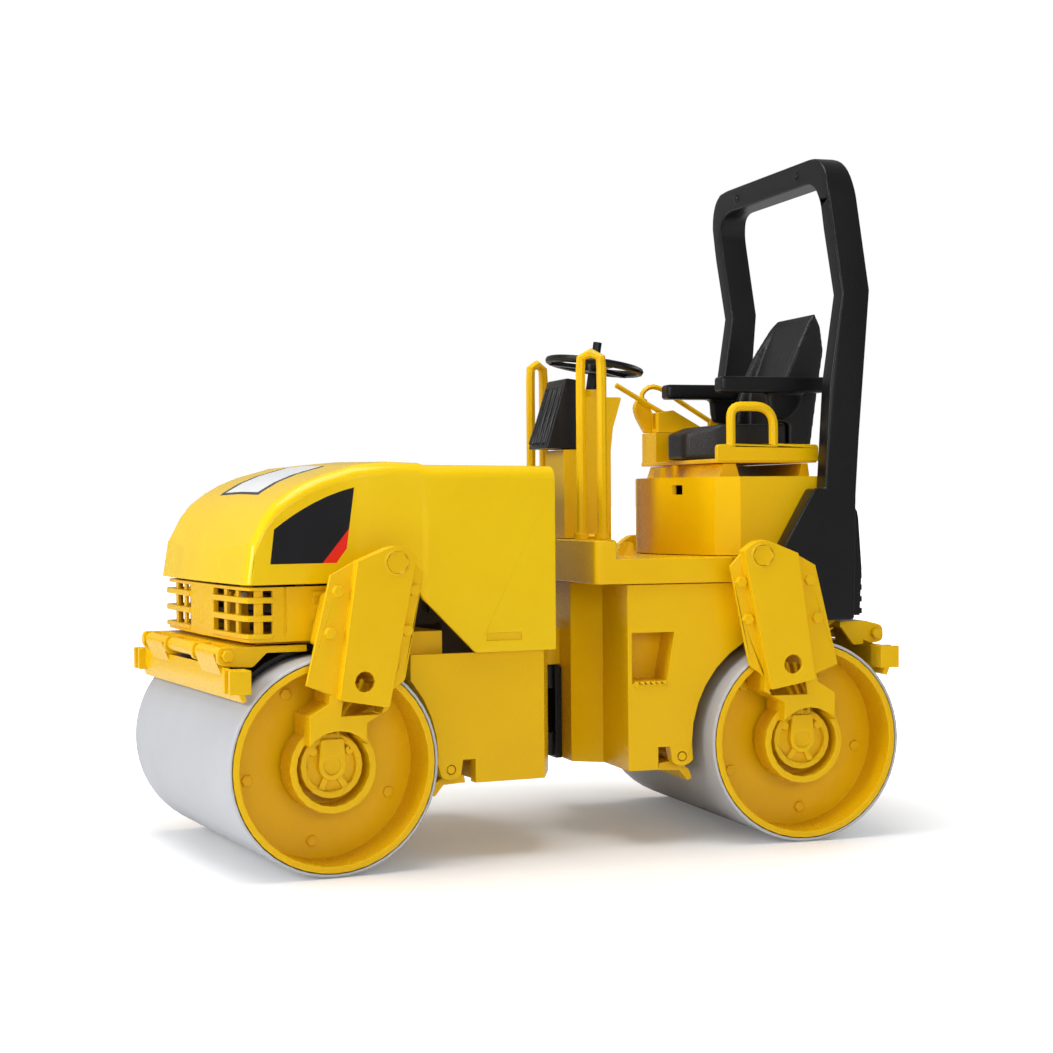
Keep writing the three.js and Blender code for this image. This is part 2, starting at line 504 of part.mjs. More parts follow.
function rearChassis() {
  const { halfWidth, front, rear, bottom, top, wall } = rearBody;
  const side = bar('y', [[front, top], [front, bottom], [-137, bottom], [-137, 37], [-141.6, 37],
    [-142.6, 31, 1],
    [-146.5, 29, 2], [-150.2, 31, 1], [-156, 38], [-wheelbase, 70], [rear, 82.2], [rear, top]],
    [-halfWidth, halfWidth]);
  const prow = bar('z', [[nose.front, -nose.frontHalf], [nose.front, nose.frontHalf], [front, nose.rearHalf],
    [-130, nose.rearHalf], [-130, -nose.rearHalf], [front, -nose.rearHalf]], [bottom, top]);
  const capRadius = 6.5;
  const pivotCap = join(rod('z', capRadius, [65, 79.4], [pivotX, 0], 6),
    box([nose.front - 1, pivotX], [-capRadius, capRadius], [65, 79.4]));
  const arch = rod('y', archRadius.rear, [-60, 60], [-wheelbase, axleZ], 18);
  const inner = join(box([-140, front - wall], [-39.5, 39.5], [20, top - wall]),
    box([-209, front - wall], [-39.5, 39.5], [60, top - wall]),
    box([-128, nose.front - wall], [-17, 17], [20, top - wall]));
  const cavity = cut(inner, rod('y', archRadius.rear + wall, [-70, 70], [-wheelbase, axleZ], 18));
  const step = bar('y', [[-126.8, 80], [-143.6, 80], [-140.2, 61], [-126.8, 61]], [42.5, 60]);
  const legRoom = box([-230, -187.4], [rops.inner - clearance, 60], [80, 100]);
  const flapRoom = box([-154, -139], [-50.5, 50.5], [20, 38.5]);
  const treads = Array.from({ length: 6 }, (_, i) => rod('y', 1.3, [42, halfWidth + 0.8],
    [-128.4 - 2.2 * i, 60.9], 3));
  const shell = cut(join(side, prow, pivotCap), arch, cavity, bothSides(step), bothSides(legRoom), flapRoom);
  return cut(join(shell, ...treads, ...treads.map(mirrored)),
    rod('y', flap.pinRadius + clearance, [-60, 60], [-wheelbase - flap.x, flap.z], 5),
    rod('z', 2.9, [60, 85], [pivotX, 0], 4));
}

function operatorDeck() {
  const { bottom, top, halfWidth, front, wallTop } = deck;
  const rearHalfWidth = rops.inner - clearance;
  const slab = bar('z', [[-120, -halfWidth], [-120, halfWidth], [-167.4, halfWidth, 1],
    [-167.4, rearHalfWidth],
    [-207, rearHalfWidth], [-207, -rearHalfWidth], [-167.4, -rearHalfWidth], [-167.4, -halfWidth, 1]],
      [bottom, top]);
  const wall = bar('z', [[front, -halfWidth, 3], [front, halfWidth, 3], [-120.3, halfWidth],
    [-120.3, -halfWidth]], [bottom, wallTop]);
  const railBlock = bar('z', [[-119, halfWidth], [-120.3, halfWidth], [-127.6, 34], [-127.6, 27], [-120.3, 21],
    [-119, 21]], [bottom, wallTop]);
  const pedal = bar('y', [[-133, top - 1], [-136, top + 5.6], [-137.4, top + 5], [-138, top - 1]], [20, 29]);
  return join(slab, wall, bothSides(railBlock), pedal);
}

function seatPedestal() {
  const { halfWidth, rear, top } = pedestal;
  const plan = (grow) => [[-153.7 + grow, -11], [-153.7 + grow, 11], [-165.1, 44 + grow],
    [-173.3, halfWidth + grow],
    [rear - grow, halfWidth + grow], [rear - grow, -halfWidth - grow], [-173.3, -halfWidth - grow],
    [-165.1, -44 - grow]];
  const base = deck.top + clearance;
  const railTop = tray.bottom - clearance;
  const wall = 2.4;
  const walls = cut(bar('z', plan(0), [base, top]), bar('z', plan(-wall), [base - 1, top - wall]));
  const window = box([-164, -152], [20, 26], [131.5, top - wall - 0.6]);
  const rail = ([footRear, headRear, headFront, footFront]) => bar('y', [[footRear, top - 1],
    [headRear, railTop],
    [headFront, railTop], [footFront, top - 1]], [-40, 40]);
  const rails = join(rail([-177.5, -175.6, -170.5, -168.3]), rail([-206.8, -205.9, -203.3, -202]));
  const pegs = [[-183.1, 2.1], [-178.5, 2.1], [-166, 1.6]]
    .map(([x, radius]) => rod('z', radius, [top - 1, railTop], [x, 0], 4));
  const stop = bar('y', [[-160.4, top - 1], [-160.4, top + 4.2], [-158.6, top + 4.2, 0.6],
    [-157.6, top - 1]], [-4, 4]);
  return join(cut(walls, window), rails, ...pegs, stop);
}

function seatTray() {
  const { bottom, top } = tray;
  const plate = bar('z', [[-167, -42], [-167, 42], [-209.5, 42, 2], [-209.5, -42, 2]], [bottom, top]);
  const sideRail = bar('y', [[-167, top - 1], [-167, 150.7, 1.5], [-209.5, 150.7, 1.5],
    [-209.5, top - 1]], [39.6, 42.4]);
  const consoleBox = box([-200, -167.4], [-42, -25.5], [top - 1, consoleTop]);
  return join(plate, sideRail, consoleBox, hoop([-173.2, 41], [-191, 41], [150, 165.4], 1.9, [4.5, 8]));
}

// Plan and side outlines of the cushion, which narrows towards its front.
const seatCushion = () => bar('z', [[-205.5, -22, 2], [-179, -22, 4], [-166, -9, 3], [-166, 9, 3],
  [-179, 22, 4],
  [-205.5, 22, 2]], [145.6, 160]).intersect(bar('y', [[-205.5, 145.6], [-165.8, 145.6, 1], [-165.8, 156, 2],
  [-168, 156.4], [-179, 159.4, 3], [-205.5, 159.4]], [-30, 30]));

function seatBackrest() {
  const rear = [[-215.2, 146.2, 1], [-218.9, 172], [-221.7, 189], [-221.7, 198.6, 2], [-219.7, 204.4, 1]];
  const shell = bar('y', [[-206.2, 146.2], ...rear, [-216, 200], [-210.3, 190], [-205, 179], [-202, 171],
    [-201, 159.9],
    [-206.2, 159.9]], [-22, 22]);
  const dish = bar('y', [[-190, 159], [-207, 159], [-207, 173], [-212.7, 189], [-218.6, 206],
    [-190, 206]], [-30, 30]);
  const taper = (wing) => bar('x', [[-22 + wing, 140], [-22 + wing, 189], [-17.5 + wing, 206],
    [17.5 - wing, 206],
    [22 - wing, 189], [22 - wing, 140]], [-230, -180]);
  return cut(shell.intersect(taper(0)), dish.intersect(taper(4.2)));
}

// Armrests fold up about a pin at their rear end.
const armrestPivot = { x: -213.6, z: 174.4 };

function armrest(side) {
  const pad = bar('y', [[-218.4, 171.4, 1.5], [-172.8, 171.4, 1], [-172.8, 177.6, 1],
    [-218.4, 177.6, 1.5]], [25.6, 33]);
  const prop = bar('y', [[-193, 172], [-194.2, 162, 1], [-202, 160.6, 2], [-207.5, 166, 2],
    [-208.6, 172]], [27.6, 31]);
  const eye = rod('y', 2.6, [22.4, 26], [armrestPivot.x, armrestPivot.z], 5);
  const solid = join(pad, prop, eye);
  return side === 'left' ? solid : mirrored(solid);
}

// The travel lever comes up through a slotted boot on the right-hand console, beside a bent guard.
const lever = { x: -176, y: -35.2, z: 165, radius: 1.2 };

function travelLever() {
  const { x, y, z, radius } = lever;
  const pivot = rod('y', 1.8, [y - 1.6, y + 1.6], [x, z], 5);
  return join(pivot, tube([[x, y, z], [x + 8, y, z + 4.4], [x + 22.7, y, z + 12.7]], radius, 8));
}

function leverBoot() {
  const { x, y } = lever;
  const base = consoleTop + clearance;
  const ramp = bar('y', [[x + 5.8, base], [x + 5.8, base + 8.3], [x - 1, base + 9.3], [x - 13.1, base + 2.5],
    [x - 13.1, base]], [y - 2.6, y + 5.4]);
  return cut(ramp, box([x - 4, x + 8], [y - 2, y + 2], [base + 1.6, base + 12]));
}

function consoleGuard() {
  const y = -39.9;
  const base = consoleTop + clearance;
  const neck = bar('y', [[-171.3, base], [-167.7, base], [-163.7, 164.7, 2], [-162.7, 169.2, 2],
    [-165.4, 173, 1],
    [-168.4, 172], [-171.3, 165]], [y - 1.7, y + 1.7]);
  const rail = tube([[-166.6, y, 170], [-167, y, 174.6], [-170.4, y, 177.2], [-175, y, 176.6],
    [-184.4, y, 170.8],
    [-199, y, 162]], lever.radius, 20);
  const foot = box([-200.6, -197], [y - 1.6, y + 1.6], [base, 163]);
  return join(neck, rail, foot);
}

function consoleColumn() {
  const lower = box([-134.4, -120.7], [-12, 12], [deck.top + clearance, 149.4]);
  const upper = bar('y', [[-122, 149], [-134.4, 149], [-135.4, 158], [-139, 170, 1], [-122, 170, 1]],
    [-12, 12]);
  const apron = box([-121, -115], [-12, 12], [deck.wallTop + clearance, 149.4]);
  const socket = rod('z', 5, [169, 173.4], [-131, 0], 6);
  return cut(join(lower, upper, apron, socket), tilted(rod('z', 2.6, [-20, 0], [0, 0], 5)));
}

function dashPanel() {
  const body = bar('y', [[-107.8, 150], [-119.7, 149.8], [-121.6, 176.6, 1], [-116, 177.4, 1]], [-12, 12]);
  const ribs = [-9, -3, 3, 9].map((y) => bar('y', [[-107, 152], [-112, 152], [-117, 174], [-114.9, 174]],
    [y - 0.9, y + 0.9]));
  return join(body, ...ribs);
}

// The wheel and its shaft are drawn upright about the hub and then tilted together.
function tilted(solid) {
  const turn = new THREE.Matrix4().makeRotationY(-wheelTilt).setPosition(steeringWheel.x, 0, steeringWheel.z);
  return moved(solid, turn);
}

function steeringWheelRim() {
  const { radius, rimRadius } = steeringWheel;
  const ring = Array.from({ length: 8 }, (_, i) => {
    const angle = (2 * Math.PI * i) / 8;
    return [radius + rimRadius * Math.cos(angle), rimRadius * Math.sin(angle)];
  });
  const spokes = [90, 210, 330].map((degrees) => {
    const turn = new THREE.Matrix4().makeRotationZ(THREE.MathUtils.degToRad(degrees));
    return moved(box([2, radius], [-1.5, 1.5], [-1.6, 0]), turn);
  });
  const hub = rod('z', 4.4, [-2.4, 1], [0, 0], 6);
  const boss = rod('z', 1.8, [0, 9.6], [0, 0], 4);
  return tilted(join(turned('z', ring, [0, 0], 32), hub, boss, ...spokes));
}

const steeringShaft = () => tilted(rod('z', 2.2, [-16, -2.8], [0, 0], 5));

function handrail(side) {
  const [front, rear] = [[-115.2, 32.3], [-122.1, 36.7]];
  const rail = hoop(front, rear, [116, 185.6], 1.9, [3.6, 3.6]);
  const foot = join(...[front, rear].map((leg) => rod('z', 3, [deck.wallTop + clearance, 117], leg, 6)));
  const strap = tube([[...front, 115.9], [...rear, 115.9]], 1.05, 1, 2);
  const solid = join(rail, foot, strap);
  return side === 'left' ? solid : mirrored(solid);
}

function ropsFrame() {
  const { outer, inner, top, barBottom, outerBend, innerBend } = rops;
  const side = bar('y', [[-206, top, 1.5], [-215.6, top, 3], [-218.6, 246], [-224, 209.4], [-219.3, 153],
    [-217.6, 131],
    [-216.6, 83], [-188.4, 83], [-187.8, 112], [-200.3, 133.4], [-204.8, 133.4], [-207.3, 174], [-212.4, 208],
    [-208.4, 233], [-206.6, 247]], [-outer, outer]);
  const face = bar('x', [[-outer, 80], [-outer, top, outerBend], [outer, top, outerBend], [outer, 80],
    [inner, 80],
    [inner, barBottom, innerBend], [-inner, barBottom, innerBend], [-inner, 80]], [-230, -180], 10);
  const studs = [-30, 30].map((y) => rod('x', 1.9, [-208, -205.4], [y, 256.6], 4));
  return join(side.intersect(face), ...studs);
}

function rearCover() {
  const body = bar('y', [[-213.4, 84], [-224, 84], [-225, 102], [-223.4, 126, 4], [-215, 132, 4],
    [-207.5, 132],
    [-207.5, 99], [-213.4, 99]], [-48, 48]);
  const louvres = Array.from({ length: 4 }, (_, i) => box([-227, -223], [-44, 44],
    [84.4 + 4.6 * i, 86.6 + 4.6 * i]));
  return join(body, ...louvres);
}

// Assembly.

function frontHalf() {
  const half = new THREE.Group();
  part(half, 'front_chassis', 'bodyYellow', frontChassis());
  part(half, 'grille_box', 'bodyYellow', grilleBox());
  part(half, 'front_mudguard', 'satinBlack', mudguard());
  part(half, 'engine_hood', 'glossYellow', engineHood());
  part(half, 'hood_hinge_pin', 'steel', hingePin());
  part(half, 'engine_block', 'engineGrey', engineBlock());
  part(half, 'radiator', 'satinBlack', radiator());
  part(half, 'air_filter', 'satinBlack', airFilter());
  part(half, 'swing_collar', 'satinBlack', swingCollar());
  part(half, 'articulation_yoke', 'satinBlack', articulationYoke());
  axleSet(half, 'front', { spacerInner: grille.halfWidth + 1.2, spacerOuter: 40, hoseXs: [-2.6, 2.6],
    bracketTop: 80, bracketInner: 15, cheekInner: 6, flapReach: 55 });
  const pivot = new THREE.Vector3(pivotX, 0, 0);
  half.rotation.z = restSteer;
  half.position.copy(pivot).sub(pivot.clone().applyAxisAngle(unit.z, restSteer));
  return half;
}

function rearHalf() {
  const half = new THREE.Group();
  part(half, 'rear_chassis', 'bodyYellow', rearChassis());
  part(half, 'articulation_knuckles', 'satinBlack', rearKnuckles());
  part(half, 'king_pin', 'steel', kingPin());
  part(half, 'operator_deck', 'bodyYellow', operatorDeck());
  part(half, 'seat_pedestal', 'bodyYellow', seatPedestal());
  part(half, 'seat_tray', 'bodyYellow', seatTray());
  part(half, 'seat_cushion', 'softBlack', seatCushion());
  part(half, 'seat_backrest', 'softBlack', seatBackrest());
  for (const side of ['left', 'right']) {
    part(half, `armrest_${side}`, 'satinBlack', armrest(side));
    part(half, `handrail_${side}`, 'bodyYellow', handrail(side));
  }
  part(half, 'travel_lever', 'bodyYellow', travelLever());
  part(half, 'console_guard', 'bodyYellow', consoleGuard());
  part(half, 'lever_boot', 'bodyYellow', leverBoot());
  part(half, 'console_column', 'bodyYellow', consoleColumn());
  part(half, 'dash_panel', 'satinBlack', dashPanel());
  part(half, 'steering_shaft', 'satinBlack', steeringShaft());
  part(half, 'steering_wheel', 'satinBlack', steeringWheelRim());
  part(half, 'rops_frame', 'satinBlack', ropsFrame());
  part(half, 'rear_cover', 'satinBlack', rearCover());
  const tail = new THREE.Group();
  tail.position.x = -wheelbase;
  tail.rotation.z = Math.PI;
  axleSet(tail, 'rear', { spacerInner: rearBody.halfWidth + clearance, spacerOuter: -7, hoseXs: [-3.2, 0, 3.2],
    bracketTop: 82, bracketInner: 20, cheekInner: 20, flapReach: 56 });
  half.add(tail);
  return half;
}

const machine = new THREE.Group();
machine.add(frontHalf(), rearHalf());
const bounds = new THREE.Box3().setFromObject(machine, true);
const middle = bounds.getCenter(new THREE.Vector3());
machine.position.set(-middle.x, -middle.y, -bounds.min.z);

export default machine;
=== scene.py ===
import json
import math

import bpy
from mathutils import Matrix, Vector

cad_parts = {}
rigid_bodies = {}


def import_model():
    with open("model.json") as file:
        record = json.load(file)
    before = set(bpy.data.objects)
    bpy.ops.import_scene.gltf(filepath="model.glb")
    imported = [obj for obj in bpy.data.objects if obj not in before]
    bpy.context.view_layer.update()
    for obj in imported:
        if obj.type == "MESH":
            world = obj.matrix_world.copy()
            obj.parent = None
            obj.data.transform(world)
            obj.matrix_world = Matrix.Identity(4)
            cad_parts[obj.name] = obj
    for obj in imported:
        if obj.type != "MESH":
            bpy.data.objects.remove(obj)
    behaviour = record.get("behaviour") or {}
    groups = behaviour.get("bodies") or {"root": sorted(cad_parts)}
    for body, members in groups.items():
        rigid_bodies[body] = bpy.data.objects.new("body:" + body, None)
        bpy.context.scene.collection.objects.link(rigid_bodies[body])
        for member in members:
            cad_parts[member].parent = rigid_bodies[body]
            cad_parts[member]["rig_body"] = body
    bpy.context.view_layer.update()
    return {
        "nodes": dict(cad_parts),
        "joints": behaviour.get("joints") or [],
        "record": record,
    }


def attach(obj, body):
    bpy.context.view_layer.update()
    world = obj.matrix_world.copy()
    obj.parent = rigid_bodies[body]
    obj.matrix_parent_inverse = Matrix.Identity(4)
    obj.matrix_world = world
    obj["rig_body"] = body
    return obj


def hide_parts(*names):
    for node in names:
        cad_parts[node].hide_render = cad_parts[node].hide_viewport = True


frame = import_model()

nodes = frame["nodes"]
joints = {joint["name"]: joint for joint in frame["joints"]}
slotOf = {part["node"]: part["material_slot"] for part in frame["record"]["subparts"]}
mm = 0.001

# the front half is drawn from its axle, as its mould is, and stands turned about the king pin
pivotX = -108 * mm
pivot = Vector(joints["steering"]["pos_m"])
rockAxis = joints["front_rocking"]["axis"]
restSteer = math.atan2(rockAxis[1], rockAxis[0])
frontHalf = (Matrix.Translation((pivot.x, pivot.y, 0)) @ Matrix.Rotation(restSteer, 4, "Z")
             @ Matrix.Translation((-pivotX, 0, 0)))


def activate(piece):
    if bpy.context.mode != "OBJECT":
        bpy.ops.object.mode_set(mode="OBJECT")
    bpy.ops.object.select_all(action="DESELECT")
    piece.select_set(True)
    bpy.context.view_layer.objects.active = piece


def applyModifier(piece, kind, **settings):
    activate(piece)
    modifier = piece.modifiers.new(kind.lower(), kind)
    for name, value in settings.items():
        setattr(modifier, name, value)
    bpy.ops.object.modifier_apply(modifier=modifier.name)


def roundEdges(piece, width, clamp):
    applyModifier(piece, "BEVEL", width=width, segments=2, limit_method="ANGLE",
                  angle_limit=math.radians(edges["sharp"]), use_clamp_overlap=clamp)


def smooth(piece):
    activate(piece)
    bpy.ops.object.shade_smooth_by_angle(angle=math.radians(35))
    applyModifier(piece, "WEIGHTED_NORMAL", keep_sharp=True, weight=80)


def settle(piece, body, slot, replaced):
    piece.data.materials.clear()
    piece.data.materials.append(finishes[slot])
    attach(piece, body)
    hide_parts(replaced)


def newGroup(name, inputs, outputs):
    group = bpy.data.node_groups.new(name, "ShaderNodeTree")
    for label, kind, value in inputs:
        group.interface.new_socket(name=label, in_out="INPUT", socket_type=kind).default_value = value
    for label, kind in outputs:
        group.interface.new_socket(name=label, in_out="OUTPUT", socket_type=kind)
    return group, group.nodes.new("NodeGroupInput"), group.nodes.new("NodeGroupOutput")


def link(tree, source, target):
    tree.links.new(source, target)


def addMath(tree, operation, first, second=0.0):
    node = tree.nodes.new("ShaderNodeMath")
    node.operation = operation
    for socket, value in zip(node.inputs, (first, second)):
        if isinstance(value, (int, float)):
            socket.default_value = value
        else:
            link(tree, value, socket)
    return node.outputs[0]


def addNoise(tree, vector, scale, detail=3.0, roughness=0.55):
    node = tree.nodes.new("ShaderNodeTexNoise")
    link(tree, vector, node.inputs["Vector"])
    if isinstance(scale, (int, float)):
        node.inputs["Scale"].default_value = scale
    else:
        link(tree, scale, node.inputs["Scale"])
    node.inputs["Detail"].default_value = detail
    node.inputs["Roughness"].default_value = roughness
    return node.outputs["Fac"]


def addRange(tree, value, low, high, outLow, outHigh):
    node = tree.nodes.new("ShaderNodeMapRange")
    node.clamp = True
    link(tree, value, node.inputs["Value"])
    for name, given in zip(("From Min", "From Max", "To Min", "To Max"), (low, high, outLow, outHigh)):
        if isinstance(given, (int, float)):
            node.inputs[name].default_value = given
        else:
            link(tree, given, node.inputs[name])
    return node.outputs["Result"]


def addMix(tree, factor, first, second):
    node = tree.nodes.new("ShaderNodeMix")
    node.data_type = "RGBA"
    for socket, value in zip((node.inputs[0], node.inputs[6], node.inputs[7]), (factor, first, second)):
        if isinstance(value, (int, float, tuple)):
            socket.default_value = value
        else:
            link(tree, value, socket)
    return node.outputs[2]


def addBump(tree, height, strength, distance):
    node = tree.nodes.new("ShaderNodeBump")
    link(tree, height, node.inputs["Height"])
    for name, value in (("Strength", strength), ("Distance", distance)):
        if isinstance(value, (int, float)):
            node.inputs[name].default_value = value
        else:
            link(tree, value, node.inputs[name])
    return node.outputs["Normal"]


def makeMouldedGroup():
    group, given, put = newGroup("mouldedPlastic", [
        ("Colour", "NodeSocketColor", (0.8, 0.5, 0, 1)), ("Flow Colour", "NodeSocketColor", (0.7, 0.4, 0, 1)),
        ("Roughness", "NodeSocketFloat", 0.4), ("Grain Scale", "NodeSocketFloat", 1500.0),
        ("Grain Depth", "NodeSocketFloat", 0.2), ("Scuffs", "NodeSocketFloat", 0.2),
        ("Dust", "NodeSocketFloat", 0.1)],
        [("Colour", "NodeSocketColor"), ("Roughness", "NodeSocketFloat"), ("Normal", "NodeSocketVector")])
    place = group.nodes.new("ShaderNodeTexCoord").outputs["Object"]
    flow = addRange(group, addNoise(group, place, 22.0, 2.0), 0.35, 0.68, 0.0, 1.0)
    grain = addNoise(group, place, given.outputs["Grain Scale"], 2.0)
    stretch = group.nodes.new("ShaderNodeMapping")
    stretch.inputs["Rotation"].default_value = (0.4, 0.7, 0.3)
    stretch.inputs["Scale"].default_value = (1800, 60, 90)
    link(group, place, stretch.inputs["Vector"])
    hairlines = addRange(group, addNoise(group, stretch.outputs["Vector"], 1.0, 1.0), 0.66, 0.74, 0.0, 1.0)
    worn = addRange(group, addNoise(group, place, 60.0, 3.0), 0.5, 0.66, 0.0, 1.0)
    scuffs = addMath(group, "MULTIPLY", addMath(group, "MULTIPLY", hairlines, worn), given.outputs["Scuffs"])
    up = group.nodes.new("ShaderNodeSeparateXYZ")
    link(group, group.nodes.new("ShaderNodeNewGeometry").outputs["Normal"], up.inputs[0])
    facing = addRange(group, up.outputs["Z"], 0.5, 1.0, 0.0, 1.0)
    specks = addRange(group, addNoise(group, place, 700.0, 4.0, 0.7), 0.52, 0.72, 0.0, 1.0)
    dust = addMath(group, "MULTIPLY", addMath(group, "MULTIPLY", facing, specks), given.outputs["Dust"])
    colour = addMix(group, flow, given.outputs["Colour"], given.outputs["Flow Colour"])
    colour = addMix(group, dust, colour, (0.62, 0.6, 0.55, 1))
    link(group, colour, put.inputs["Colour"])
    uneven = addMath(group, "MULTIPLY_ADD", grain, 0.12)
    group.nodes[-1].inputs[2].default_value = -0.06
    roughness = addMath(group, "ADD", given.outputs["Roughness"], uneven)
    roughness = addMath(group, "ADD", roughness, addMath(group, "MULTIPLY", dust, 0.5))
    roughness = addMath(group, "ADD", roughness, addMath(group, "MULTIPLY", scuffs, 0.5))
    link(group, roughness, put.inputs["Roughness"])
    relief = addMath(group, "SUBTRACT", grain, scuffs)
    link(group, addBump(group, relief, given.outputs["Grain Depth"], 0.00006), put.inputs["Normal"])
    return group


def makeLeatherGroup():
    group, given, put = newGroup("pebbleGrain", [("Scale", "NodeSocketFloat", 900.0),
        ("Depth", "NodeSocketFloat", 0.5)], [("Mask", "NodeSocketFloat"), ("Normal", "NodeSocketVector")])
    place = group.nodes.new("ShaderNodeTexCoord").outputs["Object"]
    pebbles = group.nodes.new("ShaderNodeTexVoronoi")
    pebbles.feature = "DISTANCE_TO_EDGE"
    link(group, place, pebbles.inputs["Vector"])
    link(group, given.outputs["Scale"], pebbles.inputs["Scale"])
    mask = addRange(group, pebbles.outputs["Distance"], 0.0, 0.22, 0.0, 1.0)
    link(group, mask, put.inputs["Mask"])
    link(group, addBump(group, mask, given.outputs["Depth"], 0.00008), put.inputs["Normal"])
    return group


mouldedGroup = makeMouldedGroup()
leatherGroup = makeLeatherGroup()


def newMaterial(name, **sockets):
    material = bpy.data.materials.new(name)
    material.use_nodes = True
    shader = material.node_tree.nodes["Principled BSDF"]
    for label, value in sockets.items():
        shader.inputs[label.replace("_", " ")].default_value = value
    return material, material.node_tree, shader


def plastic(name, look, **sockets):
    material, tree, shader = newMaterial(name, **sockets)
    body = tree.nodes.new("ShaderNodeGroup")
    body.node_tree = mouldedGroup
    for label, value in look.items():
        body.inputs[label].default_value = value
    link(tree, body.outputs["Colour"], shader.inputs["Base Color"])
    link(tree, body.outputs["Roughness"], shader.inputs["Roughness"])
    link(tree, body.outputs["Normal"], shader.inputs["Normal"])
    return material


def leather(name, colour, creaseShade, roughness, scale):
    material, tree, shader = newMaterial(name)
    grain = tree.nodes.new("ShaderNodeGroup")
    grain.node_tree = leatherGroup
    grain.inputs["Scale"].default_value = scale
    # the creases between the pebbles take the darker second colour: painted shade standing in for the shade
    # that falls in them
    link(tree, addMix(tree, grain.outputs["Mask"], creaseShade, colour), shader.inputs["Base Color"])
    gloss = addRange(tree, grain.outputs["Mask"], 0.0, 1.0, roughness + 0.2, roughness)  # creases are duller
    link(tree, gloss, shader.inputs["Roughness"])
    link(tree, grain.outputs["Normal"], shader.inputs["Normal"])
    return material


def drawnSteel():
    material, tree, shader = newMaterial("drawnSteel", Metallic=1.0)
    place = tree.nodes.new("ShaderNodeTexCoord").outputs["Object"]
    stretch = tree.nodes.new("ShaderNodeMapping")
    stretch.inputs["Scale"].default_value = (1500, 60, 1500)
    link(tree, place, stretch.inputs["Vector"])
    lines = addNoise(tree, stretch.outputs["Vector"], 1.0, 4.0)
    link(tree, addMix(tree, lines, (0.5, 0.5, 0.52, 1), (0.72, 0.72, 0.74, 1)), shader.inputs["Base Color"])
    link(tree, addRange(tree, lines, 0.2, 0.8, 0.22, 0.4), shader.inputs["Roughness"])
    return material


finishes = {
    "body_yellow": plastic("satinYellow", {
        "Colour": (0.83, 0.5, 0.0012, 1), "Flow Colour": (0.8, 0.465, 0.001, 1),
        "Roughness": 0.27, "Grain Scale": 2600.0, "Grain Depth": 0.12, "Scuffs": 0.25, "Dust": 0.03},
        Specular_IOR_Level=0.22),
    "hood_yellow": plastic("polishedYellow", {
        "Colour": (0.88, 0.58, 0.0012, 1), "Flow Colour": (0.86, 0.55, 0.001, 1),
        "Roughness": 0.24, "Grain Scale": 600.0, "Grain Depth": 0.03, "Scuffs": 0.3, "Dust": 0.03},
        Specular_IOR_Level=0.22, Coat_Weight=0.18, Coat_Roughness=0.04),
    "drum_grey": plastic("drumGrey", {
        "Colour": (0.5, 0.51, 0.54, 1), "Flow Colour": (0.46, 0.47, 0.5, 1),
        "Roughness": 0.5, "Grain Scale": 1700.0, "Grain Depth": 0.3, "Scuffs": 0.4, "Dust": 0.1}),
    "satin_black": plastic("satinBlack", {
        "Colour": (0.0045, 0.0045, 0.005, 1), "Flow Colour": (0.0065, 0.0065, 0.007, 1),
        "Roughness": 0.3, "Grain Scale": 1900.0, "Grain Depth": 0.3, "Scuffs": 0.3, "Dust": 0.02},
        Specular_IOR_Level=0.3),
    # the second colour is painted shade in the grain's creases
    "seat_black": leather("seatGrain", (0.006, 0.006, 0.0065, 1), (0.003, 0.003, 0.003, 1), 0.34, 1100.0),
    "engine_grey": plastic("castGrey", {
        "Colour": (0.1, 0.105, 0.11, 1), "Flow Colour": (0.08, 0.085, 0.09, 1),
        "Roughness": 0.5, "Grain Scale": 1200.0, "Grain Depth": 0.5, "Scuffs": 0.3, "Dust": 0.2}),
    "pin_steel": drawnSteel(),
}


# printed on the hood, in millimetres from the front axle: on each side a black panel with a red corner,
# on the nose a white one between black rails; a line is the x and z of its two ends
panels = {
    "blackFront": (20.4, 108.4, 18.9, 120.4), "blackRear": (-8.8, 120.4, -10.8, 134.8),
    "slant": (1.2, 108.4, -8.8, 120.4), "redEnd": (-3.9, 108.3, -8.4, 114.1),
    "foot": 108.4, "crestX": 10.8, "crestZ": 134.8, "crestSlope": -0.3196, "crestBend": -0.00874,
    "sideFrom": 53.0, "noseRange": (-11.0, 14.5), "noseFrom": 125, "noseHalf": (20.0, 24.5), "noseBar": 1.2}
inks = {"black": (0.009, 0.009, 0.011, 1), "red": (0.85, 0.025, 0.012, 1), "white": (0.84, 0.84, 0.86, 1)}


